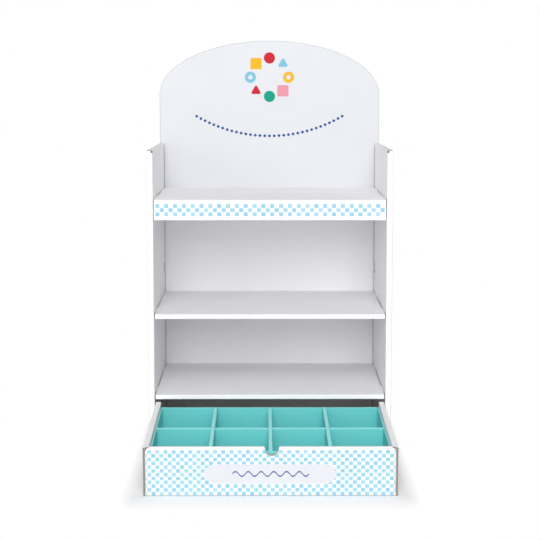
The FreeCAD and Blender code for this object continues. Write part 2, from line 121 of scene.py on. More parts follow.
class StandBoardSettings(bpy.types.PropertyGroup):
    """Sizes and colours of the white corrugated board."""
    thickness: bpy.props.FloatProperty(
        name="Thickness", description="Board thickness over both liners",
        default=3 * MILLIMETRE, unit="LENGTH")
    liner: bpy.props.FloatProperty(
        name="Liner", description="Thickness of one liner at a cut edge",
        default=0.32 * MILLIMETRE, unit="LENGTH")
    medium: bpy.props.FloatProperty(
        name="Medium", description="Thickness of the wavy medium", default=0.26 * MILLIMETRE, unit="LENGTH")
    pitch: bpy.props.FloatProperty(
        name="Flute pitch", description="Distance from crest to crest",
        default=6.4 * MILLIMETRE, unit="LENGTH")
    side_height: bpy.props.FloatProperty(
        name="Side height", description="Top edge of the stand's sides",
        default=421 * MILLIMETRE, unit="LENGTH")
    side_taper: bpy.props.FloatProperty(
        name="Side taper", description="How far a side leans in from front to back", default=2 * MILLIMETRE,
        unit="LENGTH")
    strip: bpy.props.FloatProperty(
        name="Front strip", description="Width over the outer and inner side", default=8.4 * MILLIMETRE,
        unit="LENGTH")
    relief: bpy.props.FloatProperty(
        name="Relief", description="Cut at the top of a front strip's inner fold", default=2.45 * MILLIMETRE,
        unit="LENGTH")
    top_rise: bpy.props.FloatProperty(
        name="Folded top", description="Rise of the liner folded over a side", default=0.5 * MILLIMETRE,
        unit="LENGTH")
    arch_rise: bpy.props.FloatProperty(
        name="Arch", description="Height of the header's half ellipse",
        default=81 * MILLIMETRE, unit="LENGTH")
    header_inset: bpy.props.FloatProperty(
        name="Header inset", description="From the back's corner to the header's side",
        default=1 * MILLIMETRE, unit="LENGTH")
    rim_width: bpy.props.FloatProperty(
        name="Drawer rim", description="Width of the drawer's rolled-over wall", default=7.3 * MILLIMETRE,
        unit="LENGTH")
    panel_gap: bpy.props.FloatProperty(
        name="Panel gap", description="Between neighbouring panels of the drawer", default=0.4 * MILLIMETRE,
        unit="LENGTH")
    notch: bpy.props.FloatVectorProperty(
        name="Finger notch", description="Its middle, half width and depth", size=3,
        default=(1.5 * MILLIMETRE, 9 * MILLIMETRE, 11 * MILLIMETRE), unit="LENGTH")
    rear_wall: bpy.props.FloatProperty(
        name="Rear wall", description="Height of the drawer's rear wall",
        default=53 * MILLIMETRE, unit="LENGTH")
    face: bpy.props.FloatVectorProperty(
        name="Liner colour", description="White outer liner", default=srgb(247, 246, 248), subtype="COLOR")
    kraft: bpy.props.FloatVectorProperty(
        name="Kraft colour", description="Brown inner paper at a cut edge", default=srgb(186, 172, 152),
        subtype="COLOR")
    header: bpy.props.FloatVectorProperty(
        name="Header colour", description="Pale print of the back above the top shelf",
        default=srgb(213, 215, 219), subtype="COLOR")
    ground: bpy.props.FloatVectorProperty(
        name="Ground colour", description="Pale ground of the checks on the drawer",
        default=srgb(230, 240, 244), subtype="COLOR")
    liner_edge: bpy.props.FloatVectorProperty(
        name="Liner edge", description="Cut edge of a liner", default=srgb(208, 204, 196), subtype="COLOR")
    # Painted shade: the shadow inside open flutes on cut faces, also mixed into the painted shade lines at
    # folds and corners
    painted_shade: bpy.props.FloatVectorProperty(
        name="Flute shade", description="Dark paper between the flutes", default=srgb(126, 121, 112),
        subtype="COLOR")
    roughness: bpy.props.FloatProperty(
        name="Roughness", description="Roughness of the liner", default=0.62, min=0, max=1)


class StandPrintSettings(bpy.types.PropertyGroup):
    """Ink colours."""
    check: bpy.props.FloatVectorProperty(
        name="Check", description="Light-blue squares", default=srgb(141, 189, 216), subtype="COLOR")
    check_green: bpy.props.FloatVectorProperty(
        name="Greener check", description="Squares that came out greener", default=srgb(142, 195, 209),
        subtype="COLOR")
    front_cell: bpy.props.FloatVectorProperty(
        name="Drawer's check", description="Width and height of a square", size=2,
        default=(5.15 * MILLIMETRE, 4.9 * MILLIMETRE), unit="LENGTH")
    front_margin: bpy.props.FloatProperty(
        name="Margin", description="From the drawer's rim to the checks",
        default=3.1 * MILLIMETRE, unit="LENGTH")
    lip_cell: bpy.props.FloatVectorProperty(
        name="Lip's check", description="Width and height of a square", size=2,
        default=(6.1 * MILLIMETRE, 5.75 * MILLIMETRE), unit="LENGTH")
    label: bpy.props.FloatVectorProperty(
        name="Label", description="Pale field of the drawer's label",
        default=srgb(213, 213, 219), subtype="COLOR")
    navy: bpy.props.FloatVectorProperty(
        name="Navy", description="Wave and garland", default=srgb(26, 72, 142), subtype="COLOR")
    red: bpy.props.FloatVectorProperty(
        name="Red", description="Red shapes", default=srgb(190, 28, 44), subtype="COLOR")
    blue: bpy.props.FloatVectorProperty(
        name="Blue", description="Light-blue shapes", default=srgb(116, 182, 205), subtype="COLOR")
    yellow: bpy.props.FloatVectorProperty(
        name="Yellow", description="Yellow shapes", default=srgb(226, 172, 32), subtype="COLOR")
    pink: bpy.props.FloatVectorProperty(
        name="Pink", description="Pink shapes", default=srgb(218, 144, 157), subtype="COLOR")
    green: bpy.props.FloatVectorProperty(
        name="Green", description="Green shapes", default=srgb(4, 150, 124), subtype="COLOR")


class StandInsertSettings(bpy.types.PropertyGroup):
    """Teal card of the drawer's insert."""
    teal: bpy.props.FloatVectorProperty(
        name="Teal", description="Printed face of the card", default=srgb(112, 207, 207), subtype="COLOR")
    # Painted highlight: the lit colour of the card's top edges and folds
    fold: bpy.props.FloatVectorProperty(
        name="Fold", description="Lighter ink along a fold or top edge", default=srgb(160, 240, 238),
        subtype="COLOR")


class StandStageSettings(bpy.types.PropertyGroup):
    """Camera, lights and floor."""
    lens: bpy.props.FloatProperty(
        name="Lens", description="Focal length of the camera on a 36 mm sensor", default=100, min=10)
    camera_place: bpy.props.FloatVectorProperty(
        name="Camera", description="Place of the camera",
        default=(-0.0070, -2.1840, 0.5203), subtype="TRANSLATION")
    camera_pitch: bpy.props.FloatProperty(
        name="Pitch", description="How far the camera looks down", default=0.1273, subtype="ANGLE")
    camera_yaw: bpy.props.FloatProperty(
        name="Yaw", description="How far the camera turns right", default=0.0034, subtype="ANGLE")
    room: bpy.props.FloatProperty(
        name="Room light", description="Strength of the white surroundings", default=0.45, min=0)
    front: bpy.props.FloatProperty(
        name="Front lamp", description="Power of the lamp behind the camera, in watts", default=25, min=0)
    middle: bpy.props.FloatProperty(
        name="Middle lamp", description="Power of the lamp above the camera, in watts", default=60, min=0)
    high: bpy.props.FloatProperty(
        name="High lamp", description="Power of the lamp high in front, in watts", default=11.5, min=0)
    left: bpy.props.FloatProperty(
        name="Left lamp", description="Power of the lamp at the left front, in watts", default=16, min=0)
    floor: bpy.props.FloatVectorProperty(
        name="Floor", description="Colour of the floor", default=srgb(247, 247, 248), subtype="COLOR")
    floor_radius: bpy.props.FloatProperty(
        name="Floor radius", description="Radius of the floor disc", default=30, unit="LENGTH")
    fade: bpy.props.FloatVectorProperty(
        name="Fade", description="From the stand's sides and front to where the floor is all white", size=2,
        default=(18 * MILLIMETRE, 60 * MILLIMETRE), unit="LENGTH")


# Node graphs

class Graph:
    """Short way to write a material's nodes."""

    def __init__(self, name, leaned=False):
        self.material = bpy.data.materials.new(name)
        self.material.use_nodes = True
        self.nodes = self.material.node_tree.nodes
        self.links = self.material.node_tree.links
        self.shader = self.nodes["Principled BSDF"]
        self.place = self.add("ShaderNodeTexCoord").outputs["Object"]
        if leaned:
            self.place = self.level(self.place)
        self.x, self.y, self.z = self.split(self.place)

    def add(self, kind, **values):
        node = self.nodes.new(kind)
        for key, value in values.items():
            setattr(node, key, value)
        return node

    def feed(self, socket, value):
        if isinstance(value, bpy.types.NodeSocket):
            self.links.new(value, socket)
        elif isinstance(value, (tuple, list)) and len(value) == 3 and socket.type == "RGBA":
            socket.default_value = (*value, 1)
        else:
            socket.default_value = value

    def split(self, vector):
        node = self.add("ShaderNodeSeparateXYZ")
        self.feed(node.inputs[0], vector)
        return node.outputs

    def level(self, place):
        """Place in the drawer as if the drawer stood level."""
        node = self.add("ShaderNodeVectorRotate", rotation_type="X_AXIS")
        self.feed(node.inputs["Vector"], place)
        node.inputs["Center"].default_value = PIVOT
        node.inputs["Angle"].default_value = -LEAN
        return node.outputs[0]

    def combine(self, x, y, z):
        node = self.add("ShaderNodeCombineXYZ")
        for socket, value in zip(node.inputs, (x, y, z)):
            self.feed(socket, value)
        return node.outputs[0]

    def math(self, operation, first, second=0.0, third=0.0):
        node = self.add("ShaderNodeMath", operation=operation)
        for socket, value in zip(node.inputs, (first, second, third)):
            self.feed(socket, value)
        return node.outputs[0]

    def above(self, value, limit):
        return self.math("GREATER_THAN", value, limit)

    def below(self, value, limit):
        return self.math("LESS_THAN", value, limit)

    def both(self, *masks):
        result = masks[0]
        for mask in masks[1:]:
            result = self.math("MULTIPLY", result, mask)
        return result

    def either(self, *masks):
        result = masks[0]
        for mask in masks[1:]:
            result = self.math("MAXIMUM", result, mask)
        return result

    def noise(self, scale, detail=3.0, roughness=0.55, vector=None):
        """Noise between 0 and 1; scale is features per metre."""
        node = self.add("ShaderNodeTexNoise")
        self.feed(node.inputs["Vector"], self.place if vector is None else vector)
        node.inputs["Scale"].default_value = scale
        node.inputs["Detail"].default_value = detail
        node.inputs["Roughness"].default_value = roughness
        return node.outputs["Fac"]

    def spread(self, value, low, high, new_low, new_high):
        """Maps low to high onto new_low to new_high, held at both ends."""
        node = self.add("ShaderNodeMapRange")
        for socket, item in zip(node.inputs, (value, low, high, new_low, new_high)):
            self.feed(socket, item)
        return node.outputs[0]

    def mix(self, factor, first, second, blend="MIX"):
        node = self.add("ShaderNodeMix", data_type="RGBA", blend_type=blend)
        self.feed(node.inputs[0], factor)
        self.feed(node.inputs[6], first)
        self.feed(node.inputs[7], second)
        return node.outputs[2]

    def tint(self, colour, value):
        """Colour times a number that varies over the surface."""
        return self.mix(1.0, colour, self.combine(value, value, value), "MULTIPLY")

    def bump(self, height, distance, normal=None):
        node = self.add("ShaderNodeBump")
        node.inputs["Distance"].default_value = distance
        self.feed(node.inputs["Height"], height)
        if normal is not None:
            self.feed(node.inputs["Normal"], normal)
        return node.outputs[0]

    def facing(self):
        """Size of each part of the flat surface normal."""
        parts = self.split(self.add("ShaderNodeNewGeometry").outputs["True Normal"])
        return [self.math("ABSOLUTE", part) for part in parts]

    def finish(self, colour, roughness, normal=None):
        self.feed(self.shader.inputs["Base Color"], colour)
        self.feed(self.shader.inputs["Roughness"], roughness)
        self.shader.inputs["Specular IOR Level"].default_value = 0.2
        if normal is not None:
            self.feed(self.shader.inputs["Normal"], normal)
        return self.material


def paper_fibre(graph):
    """Fine fibres and soft clouds of a pressed paper face, as (tint, height)."""
    cloud = graph.noise(22, 2.0)
    grain = graph.noise(900, 4.0, 0.7)
    streak = graph.noise(260, 3.0, 0.6)
    tint = graph.math("ADD", graph.spread(cloud, 0.3, 0.7, 0.982, 1.0),
                      graph.spread(grain, 0.3, 0.7, -0.012, 0.006))
    height = graph.math("ADD", graph.math("MULTIPLY", grain, 0.6), graph.math("MULTIPLY", streak, 0.4))
    return tint, height


def stand_cuts(graph, normal):
    """Mask of the stand's cut faces: level faces, the header's rim and the inner sides' rear edge."""
    _, across_y, upright = normal
    board = bpy.context.scene.stand_board
    level = graph.both(graph.above(upright, FACING), graph.below(graph.z, board.side_height - HAIR))
    rim = graph.both(graph.above(graph.z, board.side_height + 1 * MILLIMETRE), graph.below(across_y, FACING))
    rear = graph.both(graph.above(across_y, FACING), graph.above(graph.y, BEHIND_TABS),
                      graph.below(graph.y, STAND_HIGH.y - 1.2 * board.thickness))
    width = graph.math("ABSOLUTE", graph.x)
    relief = graph.both(graph.below(width, STAND_HIGH.x - board.strip + board.relief),
                        graph.below(graph.y, STAND_LOW.y + board.thickness),
                        graph.above(graph.z, board.side_height - board.thickness))
    return graph.either(level, rim, rear, relief)


def top_crease_shade(graph, normal):
    """Mask of the painted shade line along the crease at the outer edge of a side's folded top."""
    board = bpy.context.scene.stand_board
    width, shade = TOP_FOLD_SHADE
    lean = board.side_taper / (STAND_HIGH.y - STAND_LOW.y)
    inward = graph.math("MULTIPLY", graph.math("SUBTRACT", graph.y, STAND_LOW.y), lean)
    outer = graph.math("SUBTRACT", STAND_HIGH.x - width, inward)
    return graph.math("MULTIPLY", graph.above(graph.math("ABSOLUTE", graph.x), outer), shade)


def shelf_cuts(graph, normal):
    """Mask of a shelf's cut faces: its ends and its rear edge."""
    across_x, across_y, _ = normal
    rear = graph.both(graph.above(across_y, FACING), graph.above(graph.y, BEHIND_TABS))
    return graph.either(graph.above(across_x, FACING), rear)


def drawer_cuts(graph, normal):
    """Mask of the tray's cut faces: ends of the sides and the front, finger notch, top of the rear wall."""
    across_x, across_y, upright = normal
    board = bpy.context.scene.stand_board
    middle, half, depth = board.notch
    end = DRAWER_HIGH.x - board.thickness - HAIR
    width = graph.math("ABSOLUTE", graph.x)
    front = graph.both(graph.above(across_y, FACING), graph.above(width, end))
    roll = graph.both(graph.above(across_y, FACING), graph.above(graph.y, DRAWER_FRONT + board.thickness),
                      graph.above(width, DRAWER_HIGH.x - board.rim_width))
    panel = graph.both(graph.above(across_x, FACING), graph.below(width, end),
                       graph.above(width, end - 1 * MILLIMETRE),
                       graph.below(graph.y, DRAWER_FRONT + board.thickness))
    from_notch = graph.math("ABSOLUTE", graph.math("SUBTRACT", graph.x, middle))
    notch = graph.both(graph.below(from_notch, half + 3 * HAIR), graph.below(across_y, FACING),
                       graph.above(graph.z, DRAWER_RIM - depth - 3 * HAIR),
                       graph.below(graph.y, DRAWER_FRONT + 3 * board.thickness))
    rear = graph.both(graph.above(upright, FACING), graph.above(graph.y, PIVOT.y - board.thickness),
                      graph.below(width, DRAWER_HIGH.x - board.rim_width))
    return graph.either(front, roll, panel, notch, rear)


def plain_paper(graph):
    """Liner colour of a board without print."""
    return tuple(bpy.context.scene.stand_board.face)


def stand_paper(graph):
    """Liner colour of the stand: pale print above the top shelf, and painted shade as thin grey lines along
    four upright edges.
    """
    board = bpy.context.scene.stand_board
    rear_width, rear_shade = REAR_CORNER_SHADE
    strip_width, strip_shade = STRIP_FOLD_SHADE
    inner = STAND_HIGH.x - board.strip
    width = graph.math("ABSOLUTE", graph.x)
    back = graph.both(graph.above(graph.y, STAND_HIGH.y - 1.1 * board.thickness),
                      graph.below(graph.y, STAND_HIGH.y - 0.5 * board.thickness))
    header = graph.both(back, graph.above(graph.z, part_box("top_shelf")[1].z))
    paper = graph.mix(header, tuple(board.face), tuple(board.header))
    # Painted shade: a shadow line where each inner side meets the back, and a grey line along each front
    # strip's outer fold
    rear = graph.both(back, graph.above(width, inner - rear_width), graph.below(width, inner + rear_width),
                      graph.below(graph.z, board.side_height - board.thickness))
    strip = graph.both(graph.above(width, STAND_HIGH.x - strip_width),
                       graph.below(graph.y, STAND_LOW.y + strip_width))
    line = graph.either(graph.math("MULTIPLY", rear, rear_shade), graph.math("MULTIPLY", strip, strip_shade))
    return graph.mix(line, paper, tuple(board.painted_shade))


def drawer_paper(graph):
    """Liner colour of the drawer: pale ground under the front's checks, and a painted contact shadow as a grey
    line along the lower folds.
    """
    board = bpy.context.scene.stand_board
    inks = bpy.context.scene.stand_print
    width, shade = FOOT_SHADOW
    printed = graph.both(graph.below(graph.y, DRAWER_FRONT + 0.5 * MILLIMETRE),
                         graph.below(graph.z, DRAWER_RIM - inks.front_margin))
    paper = graph.mix(printed, tuple(board.face), tuple(board.ground))
    # Painted shadow: a dark line along the drawer's foot, where it meets the table
    foot = graph.below(graph.z, PIVOT.z + width)
    return graph.mix(graph.math("MULTIPLY", foot, shade), paper, tuple(board.painted_shade))


def white_board(name, cuts, side_axis, flat_axis, paper=plain_paper, leaned=False):
    """White liner with fibres, a faint washboard over the flutes, and painted flute shade on cut faces.

    The washboard is a cosine of the distance at right angles to the flutes: side_axis on panels that face
    sideways and flat_axis on the others. It is a bump, and also a faint painted shade in the colour. paper
    gives the liner's colour and cuts the mask of the cut faces.
    """
    board = bpy.context.scene.stand_board
    graph = Graph(name, leaned)
    normal = graph.facing()
    sideways = graph.above(normal[0], FACING)
    axes = {"x": graph.x, "y": graph.y, "z": graph.z}
    away = graph.math("MULTIPLY", axes[side_axis], sideways)
    flat = graph.math("MULTIPLY", axes[flat_axis], graph.math("SUBTRACT", 1.0, sideways))
    turn = graph.math("MULTIPLY", graph.math("ADD", away, flat), 2 * math.pi / board.pitch)
    ripple = graph.math("COSINE", turn)
    tint, fibre = paper_fibre(graph)
    # The washboard's cosine also tints the colour by 0.25 %: a faint painted shade of its ridges
    face = graph.tint(paper(graph), graph.math("ADD", tint, graph.math("MULTIPLY", ripple, 0.0025)))
    # Cut faces get the painted flute shade, which stands in for the shadow inside the open flutes
    colour = graph.mix(cuts(graph, normal), face, tuple(board.painted_shade))
    soft = graph.bump(ripple, 0.012 * MILLIMETRE)
    relief = graph.bump(fibre, 0.05 * MILLIMETRE, soft)
    rough = graph.spread(fibre, 0.3, 0.7, board.roughness - 0.06, board.roughness + 0.08)
    return graph.finish(colour, rough, relief)


def ink(name, colour, mottling=0.02):
    """Matt print on white liner, slightly mottled."""
    graph = Graph(name)
    tint, fibre = paper_fibre(graph)
    mottle = graph.spread(graph.noise(420, 3.0), 0.3, 0.7, 1 - mottling, 1 + mottling)
    shade = graph.tint(tuple(colour), graph.math("MULTIPLY", tint, mottle))
    return graph.finish(shade, 0.58, graph.bump(fibre, 0.04 * MILLIMETRE))


def check_ink(name, cell, top, leaned=False):
    """Hand-painted look of a check: each square has a tone of its own and fades at its edges.

    cell is a square's width and height, and top is the upper edge of the first row.
    """
    inks = bpy.context.scene.stand_print
    graph = Graph(name, leaned)
    tint, fibre = paper_fibre(graph)
    column = graph.math("DIVIDE", graph.x, cell[0])
    row = graph.math("DIVIDE", graph.math("SUBTRACT", top, graph.z), cell[1])
    random = graph.add("ShaderNodeTexWhiteNoise", noise_dimensions="3D")
    graph.feed(random.inputs["Vector"],
               graph.combine(graph.math("FLOOR", column), graph.math("FLOOR", row), 0.0))
    hue, strength, rounding = graph.split(random.outputs["Color"])
    own = graph.mix(graph.spread(hue, 0.55, 0.75, 0.0, 1.0), tuple(inks.check), tuple(inks.check_green))
    aside = [graph.math("ABSOLUTE", graph.math("SUBTRACT", graph.math("FRACT", place), 0.5))
             for place in (column, row)]
    power = graph.spread(rounding, 0.0, 1.0, 5.0, 12.0)
    outward = graph.math("ADD", graph.math("POWER", graph.math("MULTIPLY", aside[0], 2.0), power),
                         graph.math("POWER", graph.math("MULTIPLY", aside[1], 2.0), power))
    wobble = graph.math("ADD", outward, graph.spread(graph.noise(500, 2.0), 0.3, 0.7, -0.2, 0.2))
    fading = graph.spread(wobble, 0.8, 1.5, 0.0, 0.35)
    pale = graph.math("MAXIMUM", fading, graph.spread(strength, 0.0, 1.0, 0.0, 0.16))
    brush = graph.spread(graph.noise(300, 3.0), 0.3, 0.7, 0.97, 1.03)
    shade = graph.tint(graph.mix(pale, own, (1.0, 1.0, 1.0)), graph.math("MULTIPLY", tint, brush))
    return graph.finish(shade, 0.58, graph.bump(fibre, 0.04 * MILLIMETRE))


def teal_card(name):
    """Matt teal print on thin card, with a painted highlight where the card is folded over or cut at its top,
    fading out just below it.
    """
    insert = bpy.context.scene.stand_insert
    graph = Graph(name, leaned=True)
    upright = graph.facing()[2]
    tint, fibre = paper_fibre(graph)
    # Painted highlight: the top faces take the lit colour, and the last 1.6 mm below the top lighten towards
    # it, where overhead light falls
    edge = graph.both(graph.above(upright, FACING), graph.above(graph.z, INSERT_TOP - 2 * HAIR))
    highlight_fade = graph.spread(graph.z, INSERT_TOP - 1.6 * MILLIMETRE, INSERT_TOP, 0.0, 0.35)
    lighter = graph.math("MAXIMUM", edge, highlight_fade)
    colour = graph.tint(graph.mix(lighter, tuple(insert.teal), tuple(insert.fold)), tint)
    return graph.finish(colour, 0.55, graph.bump(fibre, 0.04 * MILLIMETRE))


def cut_paper(name, colour):
    """Rough paper of a cut edge."""
    graph = Graph(name)
    grain = graph.noise(1400, 4.0, 0.7)
    cloud = graph.noise(120, 3.0)
    tone = graph.math("ADD", graph.spread(cloud, 0.3, 0.7, 0.86, 1.06),
                      graph.spread(grain, 0.3, 0.7, -0.08, 0.08))
    return graph.finish(graph.tint(tuple(colour), tone), 0.85, graph.bump(grain, 0.06 * MILLIMETRE))


def wear(piece, material):
    """Gives a CAD node its material, in every slot."""
    slots = piece.material_slots
    if not slots:
        piece.data.materials.append(material)
    for slot in slots:
        slot.material = material


# New pieces

def strip_mesh(corners):
    """Vertices and quads of a closed strip from an (n, 4, 3) array: n sections of 4 corners each, capped.

    Quad (i, j) joins corner j of section i and the next corner round to the same two of section i + 1.
    """
    count = len(corners)
    vertices = corners.reshape(-1, 3)
    section = np.arange(count - 1)[:, None] * 4
    here = np.arange(4)[None, :]
    after = (here + 1) % 4
    quads = np.stack([section + here, section + after, section + after + 4, section + here + 4], axis=-1)
    last = (count - 1) * 4
    caps = np.array([[3, 2, 1, 0], [last, last + 1, last + 2, last + 3]])
    return vertices, np.concatenate([quads.reshape(-1, 4), caps])


def section_corners(centre, side, out, thickness):
    """Corners of a strip's sections: thickness wide along side, from SINK below a cut face to PROUD above."""
    half = side * thickness / 2
    return np.stack([centre - half - out * SINK, centre + half - out * SINK,
                     centre + half + out * PROUD, centre - half + out * PROUD], axis=1)


def unit(vectors):
    return vectors / np.linalg.norm(vectors, axis=-1, keepdims=True)


def leaned(points):
    """Points of the level drawer, turned with it about its rear lower edge."""
    y = points[..., 1] - PIVOT.y
    z = points[..., 2] - PIVOT.z
    turned = points.copy()
    turned[..., 1] = PIVOT.y + y * math.cos(LEAN) - z * math.sin(LEAN)
    turned[..., 2] = PIVOT.z + y * math.sin(LEAN) + z * math.cos(LEAN)
    return turned


def flute_strips(points, out, across, distance):
    """Strips that stand on a cut edge, as (liners, medium).

    points is the middle line of the cut face, out points away from it, across goes through the board, and
    distance is measured at right angles to the flutes. The liners run at plus and minus half the board's
    thickness, less half a liner. The medium's middle line is
    points + across * a * sin(2 pi distance / pitch), where a is half of what the liners leave free, and its
    width is laid off at right angles to that line.
    """
    board = bpy.context.scene.stand_board
    reach = board.thickness / 2 - board.liner / 2
    few = np.unique(np.r_[0:len(points):LINER_STEP, len(points) - 1])
    liners = [section_corners((points + across * (sign * reach))[few], across[few], out[few], board.liner)
              for sign in (-1, 1)]
    swing = board.thickness / 2 - board.liner - board.medium / 2
    wave = points + across * (swing * np.sin(2 * math.pi * distance / board.pitch))[:, None]
    side = unit(np.cross(out, unit(np.gradient(wave, axis=0))))
    return liners, [section_corners(wave, side, out, board.medium)]


def path_edge(points, across, flute=None):
    """Strips along a path of points in a plane at right angles to across.

    flute is the direction at right angles to the flutes; without it they are crossed all along the path.
    """
    steps = np.linalg.norm(np.diff(points, axis=0), axis=1)
    along = np.concatenate([[0], np.cumsum(steps)])
    ways = unit(np.gradient(points, along, axis=0))
    through = np.broadcast_to(np.array(across, float), points.shape)
    distance = along if flute is None else points @ np.array(flute, float)
    return flute_strips(points, unit(np.cross(through, ways)), through, distance)


def fine(*corners):
    """Points along straight lines through the corners, close enough to draw the flutes."""
    board = bpy.context.scene.stand_board
    corners = np.array(corners, float)
    parts = []
    for start, end in zip(corners[:-1], corners[1:]):
        count = max(2, int(np.linalg.norm(end - start) / board.pitch * POINTS_PER_FLUTE))
        parts.append(start + (end - start) * np.linspace(0, 1, count, endpoint=False)[:, None])
    return np.concatenate(parts + [corners[-1:]])


def edge_piece(name, edges, body, turn=None):
    """One object of many edges' strips, riding on a body: pale liners and a kraft medium."""
    vertices, faces, kinds, offset = [], [], [], 0
    for edge in edges:
        for kind, strips in enumerate(edge):
            for corners in strips:
                points, quads = strip_mesh(corners if turn is None else turn(corners))
                vertices.append(points)
                faces.append(quads + offset)
                kinds.append(np.full(len(quads), kind))
                offset += len(points)
    mesh = bpy.data.meshes.new(name)
    mesh.from_pydata(np.concatenate(vertices), [], np.concatenate(faces))
    mesh.polygons.foreach_set("material_index", np.concatenate(kinds).astype(np.int32))
    mesh.update()
    piece = bpy.data.objects.new(name, mesh)
    bpy.context.scene.collection.objects.link(piece)
    board = bpy.context.scene.stand_board
    mesh.materials.append(cut_paper(name + " liners", board.liner_edge))
    mesh.materials.append(cut_paper(name + " flutes", board.kraft))
    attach(piece, body)
    return piece


# Operators

class STAND_OT_board(bpy.types.Operator):
    """Give the stand, its shelves and the drawer's tray their white board"""
    bl_idname = "stand.board"
    bl_label = "White board"

    def execute(self, context):
        nodes = frame["nodes"]
        wear(nodes["stand_body"], white_board("white board of the stand", stand_cuts, "y", "x", stand_paper))
        shelf = white_board("white board of the shelves", shelf_cuts, "z", "y")
        for name in WHITE_SHELVES:
            wear(nodes[name], shelf)
        tray = white_board("white board of the drawer", drawer_cuts, "z", "x", drawer_paper, leaned=True)
        wear(nodes["drawer_tray"], tray)
        return {"FINISHED"}


class STAND_OT_stand_edges(bpy.types.Operator):
    """Fold white liner over the sides' tops and show the open flutes along the header's cut edge"""
    bl_idname = "stand.stand_edges"
    bl_label = "Stand's edges"

    def execute(self, context):
        board = context.scene.stand_board
        edge_piece("stand_header_edge", [self.header_edge(board)], "stand")
        # Its cut mask adds a painted shade line along the outer crease of each folded top
        liner = white_board("white liner over the sides", top_crease_shade, "y", "x")
        for name, side in (("stand_left_top", -1), ("stand_right_top", 1)):
            self.folded_top(name, side, board, liner)
        return {"FINISHED"}

    def folded_top(self, name, side, board, liner):
        """Liner that bridges the outer and the inner layer of a side: a half pipe with a flat crown.

        Over the share u of its width it stands h (1 - (2u - 1)^8) above the layers' tops, and v runs from the
        front strip's back to the back panel, while its outer edge leans in with the side.
        """
        rows, columns = 25, 9
        across = np.linspace(0, 1, rows)[:, None]
        along = np.linspace(0, 1, columns)[None, :]
        inner = STAND_HIGH.x - board.strip
        outer = STAND_HIGH.x - board.side_taper * along
        start = STAND_LOW.y + board.thickness
        end = STAND_HIGH.y - board.thickness
        x = side * (inner + (outer - inner) * across)
        y = start + (end - start) * along + 0 * across
        z = board.side_height + board.top_rise * (1 - (2 * across - 1) ** 8) + 0 * along
        points = np.stack([x, y, z], axis=-1).reshape(-1, 3)
        here = (np.arange(rows - 1)[:, None] * columns + np.arange(columns - 1)[None, :]).ravel()
        quads = np.stack([here, here + columns, here + columns + 1, here + 1], axis=1)
        mesh = bpy.data.meshes.new(name)
        mesh.from_pydata(points, [], quads if side > 0 else quads[:, ::-1])
        mesh.shade_smooth()
        mesh.materials.append(liner)
        piece = bpy.data.objects.new(name, mesh)
        bpy.context.scene.collection.objects.link(piece)
        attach(piece, "stand")

    def header_edge(self, board):
        """Up one side of the header, over its half ellipse x = a cos t, z = foot + rise sin t, and down."""
        half = STAND_HIGH.x - board.side_taper - board.header_inset
        foot = STAND_HIGH.z - board.arch_rise
        y = STAND_HIGH.y - board.thickness / 2
        count = int(math.pi * half / board.pitch * POINTS_PER_FLUTE)
        angle = np.linspace(0, math.pi, count)
        arch = np.stack([half * np.cos(angle), np.full(count, y), foot + board.arch_rise * np.sin(angle)],
                        axis=1)
        low = board.side_height + 1 * MILLIMETRE
        right = fine((half, y, low), (half, y, foot))[:-1]
        left = fine((-half, y, foot), (-half, y, low))[1:]
        return path_edge(np.concatenate([right, arch, left]), (0, 1, 0), flute=(1, 0, 0))


